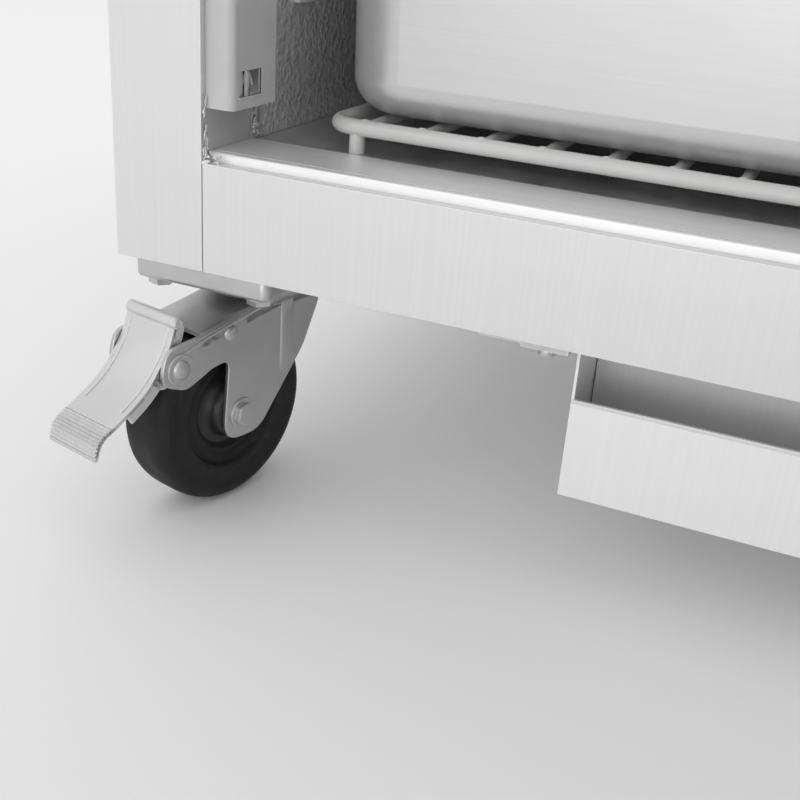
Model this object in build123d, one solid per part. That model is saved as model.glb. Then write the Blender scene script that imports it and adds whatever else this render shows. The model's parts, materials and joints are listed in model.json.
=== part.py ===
"""Single-door sandwich prep table on swivel casters, in millimetres.

X runs left to right as the cook sees it, Y runs from front to back, Z is up.
The origin is on the floor under the middle of the cabinet.
The door is drawn open at a right angle and the lid is drawn shut.
"""
from build123d import *
from math import cos, sin, radians, atan2
import os

# ---------------------------------------------------------------- cabinet
cabinet_width = 700.0
cabinet_depth = 700.0
body_height = 750.0          # underside of the cabinet to underside of the worktop
wall = 47.5                  # insulated side wall, and the width of each stile
frame_return = 43.0          # depth of the front frame behind its face
skin = 1.2                   # outer sheet
lining = 1.0                 # inner sheet
rail_height = 51.0           # bottom rail of the front frame
rail_lip = 5.0               # folded top edge of the bottom rail
threshold_rise = 4.5         # threshold strip stands above the rail
threshold_groove = 1.2
header_height = 90.0
floor_height = 54.5          # cabinet underside to the inner floor
rear_wall = 45.0             # insulation between cold store and machine bay
machine_bay = 200.0
seam = 0.4                   # joint line between neighbouring sheets
fit_gap = 0.3                # room between parts that only lie against each other
running_fit = 0.06           # radial room of a turning pin

# ---------------------------------------------------------------- worktop and rail of pans
worktop_edge = 30.0
worktop_overhang = 72.0
worktop_sheet = 1.5
opening_width = 536.0
opening_depth = 331.0
opening_front = 115.0        # cabinet front face to the front edge of the opening
well_depth = 96.0
food_pan_count = 3
food_pan_depth = 100.0
pan_sheet = 0.9
pan_rim = 11.0
pan_gap = 2.0
floor_round = 0.5            # share of a pan's corner radius that rounds its floor edge
board_depth = 160.0
board_thickness = 12.7
hood_height = 118.0
hood_inset = 34.0
hood_depth = 150.0
lid_thickness = 12.0

# ---------------------------------------------------------------- door
door_thickness = 50.0
door_side_gap = 4.0
door_foot_gap = 8.0
gasket_thickness = 11.0
gasket_width = 16.0
pivot_inset = 22.0           # hinge axis to the right side of the cabinet
door_open_angle = 90.0

# ---------------------------------------------------------------- stored goods and racks
wire = 5.9
rim_wire = 7.6
wire_pitch = 28.4
rack_side_gap = 38.0
rack_front_gap = 7.0         # behind the threshold strip
rack_lift = 12.1             # wire centre above the inner floor
rack_bend = 14.0             # corner radius of the rim wire
storage_pan_width = 563.0
storage_pan_depth = 325.0
storage_pan_height = 150.0
storage_pan_setback = 41.5   # cabinet front face to the pan's rim
shelf_height = 330.0         # above the cabinet underside

# ---------------------------------------------------------------- intake box under the cabinet
box_inset = 224.0
box_setback = 18.0
box_front_top = 28.5
box_drop = 76.0

# ---------------------------------------------------------------- casters
wheel_radius = 50.0
tyre_width = 30.0
tyre_round = 8.0
hub_radius = 33.0
caster_height = 128.6        # floor to cabinet underside
trail = 25.0                 # wheel axle ahead of the swivel axis
swivel_x = 44.5              # swivel axis from the cabinet side
swivel_y = 50.0              # swivel axis from the cabinet front or back
pad_width = 73.0
pad_depth = 96.0
pad_height = 9.8
race_height = 4.4            # fixed half of the swivel race, under the pad
crown_drop = 10.7            # pad underside to the top of the fork's crown
fork_sheet = 2.4
fork_inside = 34.0           # between the fork's cheeks
foot_radius = 12.0           # round end of a cheek about the axle
brake_pivot = (65.5, -42.9)  # ahead of the swivel axis, below the cabinet
boss_radius = 9.8
rivet_radius = 3.6
ear_sheet = 2.0
side_play = 0.4              # each side of the pedal inside the fork
axle_radius = 5.0
headings = {"front_left": -104.4, "front_right": -84.0, "rear_left": -97.0, "rear_right": -76.0}

# ---------------------------------------------------------------- values that follow
left = -cabinet_width / 2
right = cabinet_width / 2
front = -cabinet_depth / 2
back = cabinet_depth / 2
base = caster_height
top = base + body_height
worktop_top = top + worktop_edge
rail_top = base + rail_height
threshold_top = rail_top + threshold_rise
header_bottom = top - header_height
inner_floor = base + floor_height
inner_left = left + wall
inner_right = right - wall
bay_front = back - machine_bay
inner_back = bay_front - rear_wall
opening_y0 = front + opening_front
opening_y1 = opening_y0 + opening_depth
pivot_x = right - pivot_inset
pivot_y = front - gasket_thickness - fit_gap - door_thickness / 2
parts = {}


def block(x0, x1, y0, y1, z0, z1):
    """A box between two opposite corners."""
    return Pos((x0 + x1) / 2, (y0 + y1) / 2, (z0 + z1) / 2) * Box(x1 - x0, y1 - y0, z1 - z0)


def rod(start, end, radius):
    """A round bar between two points."""
    direction = Vector(*end) - Vector(*start)
    return extrude(Plane(origin=start, z_dir=direction) * Circle(radius), direction.length)


def fused(pieces):
    """One solid from overlapping pieces."""
    return pieces[0].fuse(*pieces[1:])


def group(pieces):
    """Separate solids kept together in one node."""
    return Compound(children=[Part(piece.solid().wrapped) for piece in pieces])


def side_profile(points, x0, x1):
    """A closed outline in the YZ plane, extruded from x0 to x1."""
    outline = Plane.YZ * make_face(Polyline(*points, close=True))
    return Pos(x0, 0, 0) * extrude(outline, x1 - x0)


def tub(x0, x1, y0, y1, z0, z1, sheet, rim, corner, draft):
    """An open steel pan with drafted walls, rounded corners and a flat rim."""
    middle_x = (x0 + x1) / 2
    middle_y = (y0 + y1) / 2
    width = x1 - x0 - 2 * rim
    depth = y1 - y0 - 2 * rim

    def cavity(inset, bottom, top_level):
        wide = width - 2 * inset
        deep = depth - 2 * inset
        radius = corner - inset
        lower = Plane((middle_x, middle_y, bottom)) * RectangleRounded(wide - 2 * draft,
                deep - 2 * draft, radius)
        upper = Plane((middle_x, middle_y, top_level)) * RectangleRounded(wide, deep, radius)
        return loft([lower.face(), upper.face()])

    outer = cavity(0, z0, z1)
    floor_edges = outer.edges().group_by(Axis.Z)[0]
    outer = fillet(floor_edges, corner * floor_round)
    inner = cavity(sheet, z0 + sheet, z1)
    inner = fillet(inner.edges().group_by(Axis.Z)[0], corner * floor_round - sheet)
    flange = Pos(middle_x, middle_y, z1 - sheet / 2) * extrude(
        RectangleRounded(x1 - x0, y1 - y0, corner), sheet / 2, both=True)
    return outer.fuse(flange).cut(inner)


# ---------------------------------------------------------------- cabinet shell
def make_shell():
    parts["side_panel_left"] = block(left, left + skin, front + frame_return, back, base + skin, top)
    parts["side_panel_right"] = block(right - skin, right, front + frame_return, back, base + skin, top)
    parts["base_panel"] = block(left, right, front + frame_return, back, base, base + skin)
    louvre_panel = block(left + skin, right - skin, back - skin, back, base + skin, top)
    slot_count = 12
    for side in (-1, 1):
        for index in range(slot_count):
            level = base + 90 + 24 * index
            louvre_panel -= block(side * 150 - 100, side * 150 + 100, back - 2 * skin, back + 1, level,
                                  level + 7)
    parts["rear_panel"] = louvre_panel


def make_stile(side, name):
    """A folded front post: a face, an outer side, a jamb and a rear flange."""
    outer = left if side < 0 else right - wall
    shell = block(outer, outer + wall, front, front + frame_return, base, top)
    core = block(outer + skin, outer + wall - skin, front + skin, front + frame_return + 1, base - 1,
                 top + 1)
    parts[name] = shell - core


def make_rails():
    span_left = inner_left + seam
    span_right = inner_right - seam
    rail = block(span_left, span_right, front, front + frame_return, base, rail_top)
    rail -= block(span_left - 1, span_right + 1, front + skin, front + frame_return + 1, base + skin,
                  rail_top - skin)
    rail -= block(span_left - 1, span_right + 1, front + rail_lip, front + frame_return + 1,
                  rail_top - 2 * skin, rail_top + 1)
    parts["bottom_rail"] = rail
    strip = block(span_left, span_right, front + rail_lip + seam, front + frame_return, rail_top - 3,
                  threshold_top)
    groove_y = front + rail_lip + 4
    strip -= block(span_left - 1, span_right + 1, groove_y, groove_y + threshold_groove,
                   threshold_top - 1.2, threshold_top + 1)
    front_edge = strip.edges().filter_by(Axis.X).sort_by(lambda edge: edge.center().Z - edge.center().Y)[-1]
    parts["threshold_strip"] = fillet(front_edge, 1.2)
    header = block(span_left, span_right, front, front + frame_return, header_bottom, top)
    header -= block(span_left - 1, span_right + 1, front + skin, front + frame_return + 1,
                    header_bottom + skin, top - skin)
    header -= block(-248 - 0.2, -118 + 0.2, front - 1, front + skin + 1, header_bottom + 22 - 0.2,
                    header_bottom + 68 + 0.2)
    parts["header_rail"] = header


def make_lining():
    """Cold-store lining sheets and the foam behind them."""
    y0 = front + frame_return + seam
    parts["liner_left"] = block(inner_left - lining, inner_left, y0, inner_back, inner_floor,
                                header_bottom + 30)
    parts["liner_right"] = block(inner_right, inner_right + lining, y0, inner_back, inner_floor,
                                 header_bottom + 30)
    parts["liner_rear"] = block(inner_left, inner_right, inner_back - lining, inner_back, inner_floor,
                                header_bottom + 30)
    parts["liner_floor"] = block(inner_left, inner_right, y0, inner_back - lining, inner_floor - lining,
                                 inner_floor)
    foam_top = header_bottom + 30
    shell = block(left + skin, right - skin, y0, bay_front, base + skin, foam_top)
    hollow = block(inner_left - lining, inner_right + lining, y0 - 1, inner_back, inner_floor - lining,
                   foam_top + 1)
    parts["foam_body"] = shell - hollow


def make_jamb_channel():
    """Wiring cover on the left jamb, with a small access window near its foot."""
    depth = 39.0
    reach = 14.3
    y0 = front + 3.5
    foot = threshold_top + 19.2
    head = header_bottom - 6
    sheet = 1.4
    cover = block(inner_left + 0.1, inner_left + reach, y0, y0 + depth, foot, head)
    long_edges = cover.edges().filter_by(Axis.Z).group_by(Axis.X)[-1]
    cover = fillet(long_edges, 3.0)
    cover -= block(inner_left - 1, inner_left + reach - sheet, y0 + sheet, y0 + depth - sheet, foot - 1,
                   head - sheet)
    window = block(inner_left + reach - 2 * sheet, inner_left + reach + 1, y0 + 5.0, y0 + 23.5,
                   foot + 5.4, foot + 16.5)
    parts["jamb_channel"] = cover - window


# ---------------------------------------------------------------- racks and pans
def wire_rack(x0, x1, y0, y1, level, legs):
    """A coated wire rack: a rounded rim wire with cross wires, and feet if it stands."""
    radius = wire / 2
    bend = rack_bend
    rim_path = Plane((0, 0, level)) * Pos((x0 + x1) / 2, (y0 + y1) / 2) * RectangleRounded(x1 - x0,
            y1 - y0, bend)
    path = rim_path.wire()
    start = path.position_at(0)
    profile = Plane(origin=start, z_dir=path.tangent_at(0)) * Circle(rim_wire / 2)
    pieces = [sweep(profile, path=path)]
    count = int((x1 - x0 - 2 * bend) // wire_pitch)
    first = x0 + 18.0
    for index in range(count + 1):
        across = first + index * wire_pitch
        if across < x1 - bend:
            pieces.append(rod((across, y0, level), (across, y1, level), radius * 0.92))
    for brace in (0.33, 0.67):
        run = y0 + (y1 - y0) * brace
        pieces.append(rod((x0, run, level - wire * 0.8), (x1, run, level - wire * 0.8), radius * 0.9))
    if legs:
        for corner_x in (x0 + bend, x1 - bend):
            for corner_y in (y0 + radius * 0.4, y1 - radius * 0.4):
                pieces.append(rod((corner_x, corner_y, level),
                                  (corner_x, corner_y, inner_floor + fit_gap / 3), radius * 1.25))
    return fused(pieces)


def make_racks():
    x0 = inner_left + rack_side_gap
    x1 = inner_right - rack_side_gap
    y0 = front + frame_return + rack_front_gap
    y1 = inner_back - 20
    parts["floor_rack"] = wire_rack(x0, x1, y0, y1, inner_floor + rack_lift, True)
    shelf_level = base + shelf_height
    parts["wire_shelf"] = wire_rack(inner_left + 12, inner_right - 12, y0 + 8, y1, shelf_level, False)
    strips = []
    clips = []
    for side_x in (inner_left, inner_right):
        inward = 1 if side_x < 0 else -1
        for along in (y0 + 40, y1 - 40):
            x_near, x_far = sorted((side_x + inward * 0.05, side_x + inward * 3))
            strip = block(x_near, x_far, along - 8, along + 8, inner_floor + 60, header_bottom - 30)
            for index in range(14):
                level = inner_floor + 80 + 25 * index
                strip -= block(side_x - 5, side_x + 5, along - 4, along + 4, level, level + 6)
            strips.append(strip)
            x_near, x_far = sorted((side_x + inward * 3.05, side_x + inward * 22))
            clips.append(block(x_near, x_far, along - 9, along + 9, shelf_level - wire * 1.3 - 6,
                               shelf_level - wire * 1.3))
    parts["shelf_pilasters"] = group(strips + clips)


def make_pans():
    pan_bottom = inner_floor + rack_lift + rim_wire / 2 + 0.1
    x0 = -storage_pan_width / 2
    y0 = front + storage_pan_setback
    parts["storage_pan"] = tub(x0, x0 + storage_pan_width, y0, y0 + storage_pan_depth, pan_bottom,
                               pan_bottom + storage_pan_height, pan_sheet, pan_rim, 34.0, 3.0)
    pitch = opening_width / food_pan_count
    rim_level = worktop_top + fit_gap / 2 + pan_sheet
    for index in range(food_pan_count):
        x0 = -opening_width / 2 + index * pitch + pan_gap / 2
        x1 = x0 + pitch - pan_gap
        parts["food_pan_" + str(index + 1)] = tub(x0, x1, opening_y0 - pan_rim + 3,
                                                  opening_y1 + pan_rim - 3,
                                                  rim_level - food_pan_depth, rim_level, pan_sheet, pan_rim, 24.0, 3.0)


# ---------------------------------------------------------------- worktop, board, hood and lid
def make_worktop():
    y0 = front - worktop_overhang
    top_shell = block(left, right, y0, back, top, worktop_top)
    top_shell = fillet(top_shell.edges().filter_by(Axis.Z).group_by(Axis.Y)[0], 6.0)
    top_shell -= block(left + worktop_sheet, right - worktop_sheet, y0 + worktop_sheet,
                       back - worktop_sheet,
                       top - 1, worktop_top - worktop_sheet)
    half = opening_width / 2
    top_shell -= block(-half, half, opening_y0, opening_y1, top, worktop_top + 1)
    parts["worktop"] = top_shell
    grow = 3.0
    well_top = worktop_top - worktop_sheet
    well_y1 = opening_y1 + grow
    well = block(-half - grow, half + grow, opening_y0 - grow, well_y1, well_top - well_depth, well_top)
    well -= block(-half - grow + lining, half + grow - lining, opening_y0 - grow + lining, well_y1 - lining,
                  well_top - well_depth - 1, well_top + 1)
    parts["pan_well"] = well


def make_board():
    y0 = front - worktop_overhang - 8
    y1 = y0 + board_depth
    z0 = worktop_top + 0.1
    board = block(left + 2, right - 2, y0, y1, z0, z0 + board_thickness)
    board = fillet(board.edges().filter_by(Axis.Z), 12.0)
    board = fillet(board.edges().group_by(Axis.Z)[-1], 1.5)
    parts["cutting_board"] = board


hood_half = opening_width / 2 + hood_inset
hood_y0 = opening_y1 + 22
hood_top = worktop_top + hood_height
lid_axis = (hood_y0 + 8, hood_top - 6)
lid_front = opening_y0 - 26


def make_hood():
    """The fixed rear part of the hood, folded from sheet and open underneath."""
    sheet = 1.5
    z0 = worktop_top + 0.1
    y1 = hood_y0 + hood_depth
    hood = block(-hood_half, hood_half, hood_y0 + 16, y1, z0, hood_top)
    hood = fillet(hood.edges().filter_by(Axis.X).group_by(Axis.Z)[-1], 5.0)
    hood -= block(-hood_half + sheet, hood_half - sheet, hood_y0 + 16 + sheet, y1 - sheet, z0 - 1,
                  hood_top - sheet)
    parts["hood_rear"] = hood
    hinges = []
    for side in (-1, 1):
        middle = side * (hood_half - 60)
        pin = rod((middle - 30, *lid_axis), (middle + 30, *lid_axis), 3.0)
        for offset in (-24, 24):
            at = middle + offset
            ear = block(at - 5, at + 5, lid_axis[0] - 4, hood_y0 + 15.95, lid_axis[1] - 4, lid_axis[1] + 4)
            pin = pin + ear
        hinges.append(pin)
    parts["lid_hinges"] = group(hinges)


def make_lid():
    """A folded lid: a flat back slope, a steep front and two cheeks."""
    half = hood_half
    z0 = worktop_top + 1.0
    knee = (opening_y0 + 120, hood_top - 20)
    outline = [(lid_axis[0] - 6, hood_top - 1), knee, (lid_front, z0 + 22), (lid_front, z0),
               (lid_front + lid_thickness, z0), (lid_front + lid_thickness, z0 + 18),
               (knee[0] + 3, knee[1] - lid_thickness), (lid_axis[0] - 6, hood_top - 1 - lid_thickness)]
    lid = side_profile(outline, -half, half)
    cheek = [(lid_axis[0] - 6, hood_top - 1), knee, (lid_front, z0 + 22), (lid_front, z0),
             (lid_axis[0] - 6, z0)]
    for x0 in (-half, half - 2.0):
        lid += side_profile(cheek, x0, x0 + 2.0)
    for side in (-1, 1):
        middle = side * (half - 60)
        knuckle = rod((middle - 18, *lid_axis), (middle + 18, *lid_axis), 5.5)
        knuckle += block(middle - 18, middle + 18, lid_axis[0] - 8, lid_axis[0], lid_axis[1] - 5.5,
                         lid_axis[1] + 1)
        lid += knuckle
        lid -= rod((middle - 40, *lid_axis), (middle + 40, *lid_axis), 3.0 + running_fit)
    parts["lid"] = lid
    slope = atan2(knee[1] - z0 - 22, knee[0] - lid_front)
    along = 26.0
    anchor_y = lid_front + along * cos(slope)
    anchor_z = z0 + 22 + along * sin(slope)
    normal = (-sin(slope), cos(slope))
    posts = []
    reach = 26.0
    for side in (-1, 1):
        foot = (side * 90, anchor_y + normal[0] * 0.05, anchor_z + normal[1] * 0.05)
        end = (side * 90, anchor_y + normal[0] * reach, anchor_z + normal[1] * reach)
        posts.append(rod(foot, end, 5.0))
    grip_y = anchor_y + normal[0] * reach
    grip_z = anchor_z + normal[1] * reach
    posts.append(rod((-110, grip_y, grip_z), (110, grip_y, grip_z), 6.0))
    parts["lid_handle"] = fused(posts)


# ---------------------------------------------------------------- door
def swung(shape):
    """Moves a shape of the shut door to the door's open place."""
    return shape.rotate(Axis((pivot_x, pivot_y, 0), (0, 0, 1)), door_open_angle)


def make_door():
    x0 = left + door_side_gap
    x1 = right - door_side_gap + 2
    inner_face = front - gasket_thickness - fit_gap
    outer_face = inner_face - door_thickness
    z0 = base + door_foot_gap
    z1 = header_bottom + 20
    liner_depth = 14.0
    body = block(x0, x1, outer_face, inner_face - liner_depth, z0, z1)
    body = fillet(body.edges().filter_by(Axis.Z).group_by(Axis.Y)[0], 4.0)
    grip_depth = 20.0
    grip = block(x0 + 60, x1 - 60, outer_face - 1, outer_face + grip_depth, z1 - 34, z1 + 1)
    grip -= block(x0 + 60, x1 - 60, outer_face - 1, outer_face + 2, z1 - 20, z1 + 1)
    pin_radius = 6.0
    for level in (z0, z1):
        bore = rod((pivot_x, pivot_y, level - 18), (pivot_x, pivot_y, level + 18), pin_radius + running_fit)
        body -= bore
    parts["door_body"] = swung(body - grip)
    tray = block(x0 + 2, x1 - 2, inner_face - liner_depth + 0.05, inner_face, z0 + 2, z1 - 2)
    tray -= block(x0 + wall - 4, x1 - wall + 2, inner_face - 8, inner_face + 1, z0 + 50, z1 - 50)
    for level in (z0, z1):
        tray -= block(pivot_x - 9, pivot_x + 9, inner_face - 26, inner_face - 6, level - 18, level + 18)
    parts["door_liner"] = swung(tray)
    inset = 12.0
    edge = gasket_width
    right_edge = pivot_x - 2
    seal = block(x0 + inset, right_edge, inner_face + 0.05, inner_face + gasket_thickness, z0 + inset,
                 z1 - inset)
    seal -= block(x0 + inset + edge, right_edge - edge, inner_face - 1, inner_face + gasket_thickness + 1,
                  z0 + inset + edge, z1 - inset - edge)
    parts["door_gasket"] = swung(seal)
    brackets = []
    for level, away in ((z0, -1), (z1, 1)):
        plate_near = level + away * 0.4
        plate_far = level + away * 4.4
        low, high = sorted((plate_near, plate_far))
        arm = block(pivot_x - 14, pivot_x + 14, pivot_y - 12, front, low, high)
        flange = block(pivot_x - 28, pivot_x + 14, front - 3, front - 0.05,
                       *sorted((plate_near, level + away * 7.4)))
        if away > 0:
            flange = block(pivot_x - 28, pivot_x + 14, front - 3, front - 0.05, low, high + 34)
        pin = rod((pivot_x, pivot_y, plate_near), (pivot_x, pivot_y, level - away * 15), pin_radius)
        brackets.append(arm + flange + pin)
    parts["hinge_brackets"] = group(brackets)


# ---------------------------------------------------------------- refrigeration
def finned_coil(x0, x1, y0, y1, z0, z1, fins, rows):
    """Thin fins threaded on round tubes."""
    pieces = []
    for index in range(rows):
        level = z0 + (z1 - z0) * (index + 0.5) / rows
        pieces.append(rod((x0 - 10, (y0 + y1) / 2, level), (x1 + 10, (y0 + y1) / 2, level), 4.0))
    pitch = (x1 - x0) / (fins - 1)
    for index in range(fins):
        at = x0 + index * pitch
        pieces.append(block(at - 0.6, at + 0.6, y0, y1, z0, z1))
    return fused(pieces)


def fan_wheel(centre, radius, blades):
    """A fan turning about Y: a hub with pitched blades."""
    hub = rod((centre[0], centre[1] - 9, centre[2]), (centre[0], centre[1] + 9, centre[2]), radius * 0.26)
    for index in range(blades):
        blade = Pos(0, 0, radius * 0.61) * Rot(0, 0, 28) * Box(radius * 0.55, 1.8, radius * 0.78)
        hub += Pos(*centre) * Rot(0, 360 / blades * index, 0) * blade
    return hub


evaporator_fan_centre = (0.0, inner_back - 104, base + 555)
condenser_fan_centre = (-150.0, bay_front + 120, base + 200)


def make_evaporator():
    y1 = inner_back - lining - 0.3
    y0 = y1 - 78
    z0 = base + 470
    z1 = base + 640
    parts["evaporator_coil"] = finned_coil(-190, 190, y1 - 50, y1 - 8, z0 + 16, z1 - 14, 26, 5)
    cover = block(-230, 230, y0, y1, z0, z1)
    cover -= block(-228.8, 228.8, y0 + 1.2, y1 + 1, z0 + 1.2, z1 - 1.2)
    for side in (-1, 1):
        for index in range(8):
            at = side * (70 + 14 * index)
            cover -= block(at - 3, at + 3, y0 - 1, y0 + 3, z0 + 30, z1 - 30)
    cover -= Pos(0, y0, base + 555) * Rot(90, 0, 0) * Cylinder(52, 10)
    x, y, z = evaporator_fan_centre
    ring = Pos(x, y + 12, z) * Rot(90, 0, 0) * (Cylinder(60, 26) - Cylinder(56, 30))
    motor = rod((x, y + 12, z), (x, y0 + 24, z), 17)
    motor -= rod((x, y, z), (x, y + 16, z), 4 + running_fit)
    for turn in (0, 90):
        arm = Pos(x, y + 20, z) * Rot(0, turn, 0) * Box(116, 4, 6)
        motor += arm
    parts["evaporator_cover"] = cover + ring + motor
    wheel = fan_wheel(evaporator_fan_centre, 48, 5)
    parts["evaporator_fan"] = wheel + rod((x, y, z), (x, y + 15.8, z), 4)


def make_condensing_unit():
    floor_level = base + skin
    shell = Pos(130, bay_front + 98, floor_level + 14 + 78) * Cylinder(74, 156)
    shell = fillet(shell.edges(), 22.0)
    for turn in range(3):
        angle = radians(120 * turn + 30)
        foot = (130 + 74 * cos(angle), bay_front + 98 + 74 * sin(angle))
        shell += rod((*foot, floor_level + 0.05), (*foot, floor_level + 30), 9)
    parts["compressor"] = shell
    x, y, z = condenser_fan_centre
    parts["condenser"] = finned_coil(x - 120, x + 120, y + 34, y + 68, floor_level + 60,
                                     floor_level + 330, 24, 6)
    shroud = block(x - 128, x + 128, y - 16, y + 30, floor_level + 0.05, floor_level + 330)
    shroud -= block(x - 125, x + 125, y - 18, y + 27, floor_level + 3, floor_level + 327)
    shroud -= Pos(x, y + 28, z) * Rot(90, 0, 0) * Cylinder(96, 12)
    shroud += rod((x, y - 16, z), (x, y - 50, z), 26)
    for turn in (45, 135):
        arm = Pos(x, y - 18, z) * Rot(0, turn, 0) * Box(362, 4, 10)
        shroud += arm & block(x - 128, x + 128, y - 20, y - 16, floor_level, floor_level + 330)
    shroud -= rod((x, y - 30, z), (x, y - 10, z), 4 + running_fit)
    parts["condenser_shroud"] = shroud
    wheel = fan_wheel(condenser_fan_centre, 88, 5)
    parts["condenser_fan"] = wheel + rod((x, y - 29, z), (x, y, z), 4)
    inlet = block(250, 286, back + 0.05, back + 7, base + 60, base + 92)
    inlet = fillet(inlet.edges().filter_by(Axis.Y), 5.0)
    inlet += rod((268, back + 6, base + 76), (268, back + 12, base + 76), 10)
    inlet -= rod((268, back + 2, base + 76), (268, back + 13, base + 76), 6)
    parts["power_inlet"] = inlet


def make_controls():
    """A thermostat panel in the header with two keys and a rocker switch."""
    x0 = -248.0
    x1 = -118.0
    z0 = header_bottom + 22
    z1 = header_bottom + 68
    panel = block(x0, x1, front - 2.5, front + 12, z0, z1)
    panel = fillet(panel.edges().group_by(Axis.Y)[0], 1.0)
    middle = (z0 + z1) / 2
    keys = {"set_key": x0 + 74, "defrost_key": x0 + 92}
    for name, at in keys.items():
        panel -= rod((at, front - 4, middle), (at, front + 6, middle), 5.3)
        parts[name] = rod((at, front - 4.5, middle), (at, front + 3.0, middle), 5.0)
    rocker_x = x1 - 16
    panel -= block(rocker_x - 7.5, rocker_x + 7.5, front - 4, front + 8, middle - 11, middle + 11)
    window = block(x0 + 12, x0 + 60, front - 3, front - 1.7, middle - 10, middle + 10)
    parts["control_panel"] = panel - window
    rocker_outline = [(front - 6.5, middle + 9.5), (front - 2.5, middle), (front - 4.0, middle - 9.5),
                      (front + 0.5, middle - 8.5), (front + 4, middle), (front + 0.5, middle + 8.5)]
    parts["power_switch"] = side_profile(rocker_outline, rocker_x - 7.0, rocker_x + 7.0)


# ---------------------------------------------------------------- under the cabinet
def make_intake_box():
    """Air intake box that hangs below the cabinet and holds the evaporating pan."""
    x0 = left + box_inset
    x1 = right - box_inset
    y0 = front + box_setback
    y1 = back - 30
    z0 = base - box_drop
    z1 = base - 0.05
    sheet = 1.5
    tray = block(x0, x1, y0, y1, z0, z1)
    tray -= block(x0 + sheet, x1 - sheet, y0 + sheet, y1 - sheet, z0 + sheet, z1 + 1)
    tray -= block(x0 + sheet, x1 - sheet, y0 - 1, y0 + 2 * sheet, base - box_front_top, z1 + 1)
    parts["intake_box"] = tray
    clip_x = left + 184
    clip = block(clip_x, clip_x + 27, front + 3, front + 14, base - 1.85, base - 0.05)
    clip += block(clip_x + 18, clip_x + 39, front + 5, front + 12, base - 4.0, base - 1.0)
    clip += rod((clip_x + 29, front + 8.5, base - 6.2), (clip_x + 29, front + 8.5, base - 3.6), 3.8)
    parts["drain_clip"] = clip


# ---------------------------------------------------------------- casters
def side_plate(points, centres, y0, y1):
    """A flat cheek in the XZ plane from y0 to y1, with round ends about given centres."""
    outline = Plane.XZ * make_face(Polyline(*points, close=True))
    cheek = extrude(outline, y1 - y0)
    for along, level, radius in centres:
        cheek += extrude(Plane.XZ * Pos(along, level) * Circle(radius), y1 - y0)
    return Pos(0, y1, 0) * cheek


axle_level = wheel_radius - caster_height
crown_level = -pad_height - crown_drop


def make_fork(braked):
    """Pressed fork in its own frame: X ahead, Y across, Z from the cabinet underside."""
    half = fork_inside / 2
    width = fork_inside + 2 * fork_sheet
    px, pz = brake_pivot
    nose = (51.0, crown_level - 8.5)
    outline = [(-30.5, crown_level), (0, crown_level), nose]
    ends = [(trail, axle_level, foot_radius)]
    if braked:
        outline += [(px + 5.8, pz + 7.9), (px + 4.6, pz - 8.6), (px - 9, pz - 8.2), (43, -47.0)]
        ends.append((px, pz, boss_radius))
    else:
        outline += [(49, -40)]
    outline += [(37.5, -48.6), (34.2, -51.5), (trail + 11.8, axle_level + 2), (trail + 8, axle_level - 9),
                (trail - 8, axle_level - 9), (trail - 11, axle_level - 4), (1, -68.5), (-18.8,
                        -53.6), (-30.7, -30)]
    pieces = []
    for y0 in (half, -half - fork_sheet):
        pieces.append(side_plate(outline, ends, y0, y0 + fork_sheet))
    crown = [(-30.5, crown_level), (0, crown_level), nose, (nose[0], nose[1] - fork_sheet),
             (0, crown_level - fork_sheet), (-30.5, crown_level - fork_sheet)]
    plate = extrude(Plane.XZ * make_face(Polyline(*crown, close=True)), width)
    pieces.append(Pos(0, width / 2, 0) * plate)
    race_top = -pad_height - race_height - fit_gap
    pieces.append(Pos(0, 0, (race_top + crown_level - 1) / 2) * Cylinder(26, race_top - crown_level + 1))
    yoke = fused(pieces)
    yoke -= Pos(0, 0, crown_level) * Cylinder(axle_radius + running_fit, 40)
    yoke += rod((trail, -half - fork_sheet - 4, axle_level), (trail, half + fork_sheet + 4, axle_level),
                axle_radius)
    if braked:
        for side in (-1, 1):
            inner = side * (half - side_play - ear_sheet)
            outer = side * (half + fork_sheet + 2.5)
            yoke += rod((px, inner, pz), (px, outer, pz), rivet_radius)
    return yoke


def make_hub():
    boss_length = fork_inside - 2 * fit_gap
    rim = Rot(90, 0, 0) * Cylinder(hub_radius, tyre_width - 4)
    dish = Rot(90, 0, 0) * (Cylinder(hub_radius - 5, tyre_width) - Cylinder(14, tyre_width + 2))
    web = Rot(90, 0, 0) * Cylinder(hub_radius, tyre_width - 12)
    boss = Rot(90, 0, 0) * Cylinder(13, boss_length)
    bore = Rot(90, 0, 0) * Cylinder(axle_radius + running_fit, boss_length + 4)
    return Pos(trail, 0, axle_level) * ((rim - dish) + web + boss - bore)


def make_tyre():
    tyre = Rot(90, 0, 0) * Cylinder(wheel_radius, tyre_width)
    tyre = fillet(tyre.edges().filter_by(GeomType.CIRCLE), tyre_round)
    tyre -= Rot(90, 0, 0) * Cylinder(hub_radius, tyre_width + 2)
    return Pos(trail, 0, axle_level) * tyre


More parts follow.
